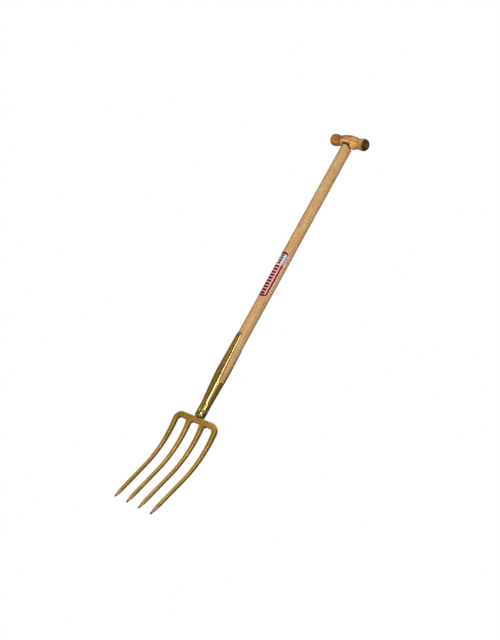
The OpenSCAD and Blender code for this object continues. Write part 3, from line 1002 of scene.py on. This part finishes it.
def shaft():
    """Round shaft from inside the socket up to the hollowed shoulder, whose cut shows raw wood."""
    low, top = SILL_Z - SHAFT_FOOT_DROP, GRIP_Z - COPE_R
    rim_z, cap_z = top + COPE_MARK, top + 2 * COPE_MARK

    def radius(z):
        return shaft_r_at(z) if z >= FULL_Z else socket_r_at(z) - SOCKET_WALL - FIT_GAP

    def cope(co):
        """Moves the rim and the cap, which are told apart by height, onto the hollow."""
        if co.z <= top:
            return co
        drop = SHOULDER_RIM if co.z < (rim_z + cap_z) / 2 else 0
        return Vector((co.x, co.y, cope_at(co.y) - drop))

    side = [(radius(z), z) for z in [low] + spread(low, top, count=60)]
    rim = [(SHAFT_TOP_R, rim_z), (SHAFT_TOP_R - SHOULDER_RIM, cap_z)]
    cap = [(SHAFT_TOP_R * k / 10, cap_z) for k in range(9, -1, -1)]
    bm = turned(bmesh.new(), side + rim + cap, steps=96)
    for f in bm.faces:
        f.material_index = min(v.co.z for v in f.verts) > top
    move(bm, cope)
    shift(bm, y=HANDLE_Y)
    piece("shaft_round", bm, ash_finish, "shaft_ash", "shaft", second=raw_finish)


def tongue():
    """Core between the shoulder and the grip's seat, dark brown as painted shade of the recess under the
    grip.
    """
    foot = GRIP_Z - COPE_R - TONGUE_DROP
    top = [(0, SEAT_Z), (TONGUE_R - TONGUE_LIP, SEAT_Z)]
    side = [(TONGUE_R, SEAT_Z - TONGUE_LIP), (TONGUE_R, foot), (0, foot)]
    bm = turned(bmesh.new(), top + side)
    shift(bm, y=HANDLE_Y)
    piece("shaft_tongue", bm, tongue_shade_finish, "shaft_ash")


shaft()
tongue()


# Grip


def grip_r_at(x):
    """Radius of the grip at a distance from its middle: barrel, waist, knob and rounded end."""
    x = abs(x)
    if x <= BARREL_HALF:
        return BARREL_R - BARREL_CROWN * (x / BARREL_HALF) ** 2
    if x <= WAIST_X:
        return mix(BARREL_R - BARREL_CROWN, WAIST_R, smooth(BARREL_HALF, WAIST_X, x))
    if x <= KNOB_X:
        return mix(WAIST_R, KNOB_R, smooth(WAIST_X, KNOB_X, x))
    past = min(1, (x - KNOB_X) / (GRIP_HALF - KNOB_X))
    return END_FACE_R + (KNOB_R - END_FACE_R) * math.sqrt(1 - past**2)


def grip():
    """Turned grip with a flat seat cut into the underside of its barrel, whose lips are chamfered raw."""
    knob = [KNOB_X + (GRIP_HALF - KNOB_X) * math.sin(a) for a in quarter(steps=14)[1:]]
    half = [0] + spread(0, SEAT_X, count=8) + spread(SEAT_X, KNOB_X, count=40) + knob
    xs = [-x for x in reversed(half)] + half[1:]
    face = [(0, -GRIP_HALF - END_CROWN), (END_CROWN_R, -GRIP_HALF - END_CROWN_SIDE)]
    profile = face + [(grip_r_at(x), x) for x in xs] + [(r, -x) for r, x in reversed(face)]
    bm = turned(bmesh.new(), profile, axis=ACROSS, steps=96)
    seat = SEAT_Z - GRIP_Z
    planes = [((SEAT_X, 0, 0), ACROSS), ((-SEAT_X, 0, 0), ACROSS), ((0, 0, seat), UP)]
    for spot, way in planes:
        geom = bm.verts[:] + bm.edges[:] + bm.faces[:]
        bmesh.ops.bisect_plane(bm, geom=geom, plane_co=spot, plane_no=way, dist=FINE_MERGE)

    def cut_away(f):
        middle = f.calc_center_median()
        return abs(middle.x) < SEAT_X and middle.z < seat

    def at_seat(v):
        return abs(v.co.z - seat) < MERGE

    def is_lip(e):
        y, other = e.verts[0].co.y, e.verts[1].co.y
        return all(at_seat(v) for v in e.verts) and min(abs(y), abs(other)) > TENON_R and y * other > 0

    bmesh.ops.delete(bm, geom=[f for f in bm.faces if cut_away(f)], context="FACES")
    rim = [e for e in bm.edges if e.is_boundary]
    at_rim = {v for e in rim for v in e.verts}
    for x in (-SEAT_X, SEAT_X):
        pair = [v for v in at_rim if at_seat(v) and abs(v.co.x - x) < MERGE]
        rim.append(bm.edges.new(pair))
    bmesh.ops.edgenet_fill(bm, edges=rim)
    bmesh.ops.recalc_face_normals(bm, faces=bm.faces[:])
    chamfer = bmesh.ops.bevel(
        bm,
        geom=[e for e in rim if e.is_valid and is_lip(e)],
        offset=SEAT_CHAMFER,
        affect="EDGES",
        segments=2,
        profile=0.5,
        material=-1,
    )
    for f in chamfer["faces"]:
        f.material_index = 1
    shift(bm, y=HANDLE_Y, z=GRIP_Z)
    piece("grip_turned", bm, grip_finish, "grip_varnish", "t_grip", sharp=30, second=raw_finish)


def on_barrel(co, proud):
    """A point moved up or down onto the top of the barrel, standing proud of it."""
    y = co.y - HANDLE_Y
    return Vector((co.x, co.y, GRIP_Z + leg(grip_r_at(co.x), y) + proud))


def tenon_end():
    """End grain of the tenon, which shows in the top of the barrel, with a rim that dips into it."""
    rim_mark = -1
    profile = [(0, 0)] + [(r, 0) for r in spread(0, TENON_R, count=8)] + [(TENON_R + TENON_LIP, rim_mark)]
    bm = turned(bmesh.new(), profile, steps=48)
    shift(bm, y=HANDLE_Y)
    move(bm, lambda co: on_barrel(co, TENON_LIP if co.z > rim_mark / 2 else -2 * TENON_LIP))
    piece("shaft_tenon", bm, tenon_finish, "shaft_ash")


def wedge():
    bm = bmesh.new()
    bmesh.ops.create_grid(bm, x_segments=2, y_segments=16, size=0.5)
    long = 2 * leg(TENON_R, WEDGE_T / 2)
    bmesh.ops.scale(bm, verts=bm.verts[:], vec=(WEDGE_T, long, 1))
    shift(bm, y=HANDLE_Y)
    move(bm, lambda co: on_barrel(co, WEDGE_PROUD))
    made = bmesh.ops.extrude_face_region(bm, geom=bm.faces[:])["geom"]
    lower = [g for g in made if isinstance(g, bmesh.types.BMVert)]
    bmesh.ops.translate(bm, verts=lower, vec=-UP * WEDGE_H)
    bmesh.ops.recalc_face_normals(bm, faces=bm.faces[:])
    round_edges(bm, WEDGE_EDGE_R)
    piece("wedge_bar", bm, wedge_finish, "wedge_wood", "tenon_wedge")


grip()
tenon_end()
wedge()


# Label


def label():
    """Film on the front of the shaft, with round corners."""
    low, high = label_low.z, label_high.z
    arcs = [LABEL_CORNER_R * (1 - math.cos(a)) for a in quarter(steps=6)]
    heights = [low + a for a in arcs]
    heights += spread(low + LABEL_CORNER_R, high - LABEL_CORNER_R, count=20)
    heights += [high - a for a in reversed(arcs[:-1])]
    last = len(heights) - 1
    bm = bmesh.new()
    bmesh.ops.create_grid(bm, x_segments=24, y_segments=last, size=1)

    def film(co):
        z = heights[round((co.y + 1) / 2 * last)]
        r = shaft_r_at(z) + FIT_GAP + LABEL_T
        drop = max(0, LABEL_CORNER_R - min(z - low, high - z))
        half_x = r * math.sin(LABEL_ANGLE / 2) - LABEL_CORNER_R + leg(LABEL_CORNER_R, drop)
        return around(r, co.x * math.asin(half_x / r), z)

    move(bm, film)
    thicken(bm, LABEL_T)
    piece("label_film", bm, label_finish, "label_film", "label")


label()

# The washer stays the CAD solid and takes the finish of the rivets
washer_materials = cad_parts["rivet_washer"].data.materials
washer_materials.clear()
washer_materials.append(rivet_finish)

# Camera: the photograph's view, from below the front right
CAMERA_AZIMUTH = math.radians(45)
CAMERA_ELEVATION = math.radians(-11.227)
CAMERA_ROLL = math.radians(28.895)
CAMERA_DISTANCE = 4028.4 * MM
CAMERA_AIM = Vector((0, 0, 350 * MM))
CAMERA_SHIFT = Vector((-21.359 * MM, -24.267 * MM))
FOCAL_PIXELS = 1411.2
IMAGE_HEIGHT = 640
SENSOR_WIDTH = 36
CLIP_END = 100


def camera():
    a, e = CAMERA_AZIMUTH, CAMERA_ELEVATION
    back = Vector((math.sin(a) * math.cos(e), -math.cos(a) * math.cos(e), math.sin(e)))
    level = Vector((math.cos(a), math.sin(a), 0))
    rise = back.cross(level)
    right = math.cos(CAMERA_ROLL) * level + math.sin(CAMERA_ROLL) * rise
    top = back.cross(right)
    data = bpy.data.cameras.new("camera")
    data.sensor_width = SENSOR_WIDTH
    data.lens = FOCAL_PIXELS / IMAGE_HEIGHT * SENSOR_WIDTH
    data.clip_end = CLIP_END
    obj = bpy.data.objects.new("camera", data)
    place = CAMERA_AIM + back * CAMERA_DISTANCE + right * CAMERA_SHIFT.x + top * CAMERA_SHIFT.y
    turn = Matrix((right, top, back)).transposed().to_4x4()
    obj.matrix_world = Matrix.Translation(place) @ turn
    bpy.context.scene.collection.objects.link(obj)
    bpy.context.scene.camera = obj


camera()

# Stage: a pale floor under the points, a white surround, soft lamps and cards for the metal to mirror
WHITE = (1, 1, 1, 1)
FLOOR_PALE = (0.86, 0.86, 0.86, 1)
FLOOR_R, FLOOR_GAP = 40, 1 * MM
FLOOR_NEAR, FLOOR_FAR = 0.7, 3.0
MATT = 0.9
SKY_LIGHT = 0.38
STAGE_AIM = Vector((0, 0, 0.3))
CARD_DARK = (0.10, 0.07, 0.04, 1)


def floor():
    """A pale floor that keeps the shadow, runs out to white far away and can't be seen from below."""
    bm = bmesh.new()
    bmesh.ops.create_circle(bm, cap_ends=True, segments=96, radius=FLOOR_R)
    shift(bm, z=cad_low.z - FLOOR_GAP)
    p = new_paint("floor_white")
    p.set(Base_Color=FLOOR_PALE, Roughness=MATT)
    x, y, _ = p.axes()
    far = ((x * x + y * y) ** 0.5).rise(FLOOR_NEAR, FLOOR_FAR)
    white = p.add("Emission", None, {"Color": WHITE, "Strength": 1})
    pale = Value(p, p.surface.outputs[0])
    top = p.add("MixShader", None, {0: far * p.seen(), 1: pale, 2: white})
    under = p.add("NewGeometry", output="Backfacing")
    clear = p.add("BsdfTransparent")
    shown = p.add("MixShader", None, {0: under, 1: top, 2: clear})
    p.plug(p.tree.nodes["Material Output"].inputs["Surface"], shown)
    as_object("floor", bm, p.owner)


def surround():
    """White where it is seen or mirrored, and dimmer as a light."""
    world = bpy.data.worlds.new("surround")
    bpy.context.scene.world = world
    p = Paint(world, surface="Background")
    level = p.add("MapRange", None, {"Value": p.seen(), "To Min": SKY_LIGHT, "To Max": 1})
    p.set(Color=WHITE, Strength=level)


def on_ring(angle, distance, z):
    """A spot round the object, at an angle from the front towards +X."""
    a = math.radians(angle)
    return Vector((distance * math.sin(a), -distance * math.cos(a), z))


def facing(place, aim):
    """The turn that makes a lamp or a card at a place look at an aim."""
    return (aim - place).to_track_quat("-Z", "Y")


def lamp(name, angle, distance, z, size, power):
    """A soft lamp out of the picture."""
    data = bpy.data.lights.new(name, "AREA")
    data.shape = "RECTANGLE"
    data.size, data.size_y = size
    data.energy = power
    place = on_ring(angle, distance, z)
    obj = bpy.data.objects.new(name, data)
    obj.location = place
    obj.rotation_euler = facing(place, STAGE_AIM).to_euler()
    obj.visible_camera = False
    bpy.context.scene.collection.objects.link(obj)


def card(name, angle, distance, size, z=STAGE_AIM.z, colour=CARD_DARK):
    """An upright card out of the picture, which the metal mirrors: dark, or of its own colour."""
    bm = bmesh.new()
    bmesh.ops.create_grid(bm, x_segments=4, y_segments=4, size=0.5)
    bmesh.ops.scale(bm, verts=bm.verts[:], vec=(*size, 1))
    place = on_ring(angle, distance, z)
    turn = facing(place, Vector((0, 0, z))).to_matrix().to_4x4()
    bmesh.ops.transform(bm, matrix=Matrix.Translation(place) @ turn, verts=bm.verts[:])
    p = new_paint(name)
    p.set(Base_Color=colour, Roughness=MATT)
    obj = as_object(name, bm, p.owner)
    obj.visible_camera = False


floor()
surround()
lamp("key", angle=-35, distance=2.9, z=1.6, size=(1.2, 1.6), power=12)
lamp("front", angle=36.5, distance=2.6, z=0.38, size=(0.75, 1.0), power=50)
lamp("glint", angle=63, distance=2.6, z=0.31, size=(0.45, 0.25), power=8)
lamp("back", angle=-160, distance=2.5, z=1.8, size=(1.2, 1.2), power=18)
card("side_card", angle=148, distance=2.2, size=(2.8, 3.2))
card("left_card", angle=-38, distance=2.2, size=(3.0, 0.8), z=0.35, colour=(0.85, 0.72, 0.48, 1))
card("right_card", angle=95, distance=2.2, size=(1.8, 0.8), z=0.35, colour=(0.4, 0.33, 0.2, 1))
card("near_card", angle=8, distance=2.4, size=(0.8, 2.4))
card("neck_card", angle=24, distance=2.3, size=(2.0, 0.28), z=0.28)
card("warm_card", angle=-95, distance=2.2, size=(1.7, 3.2), colour=(0.62, 0.44, 0.2, 1))

scene = bpy.context.scene
scene.view_settings.view_transform = "Standard"
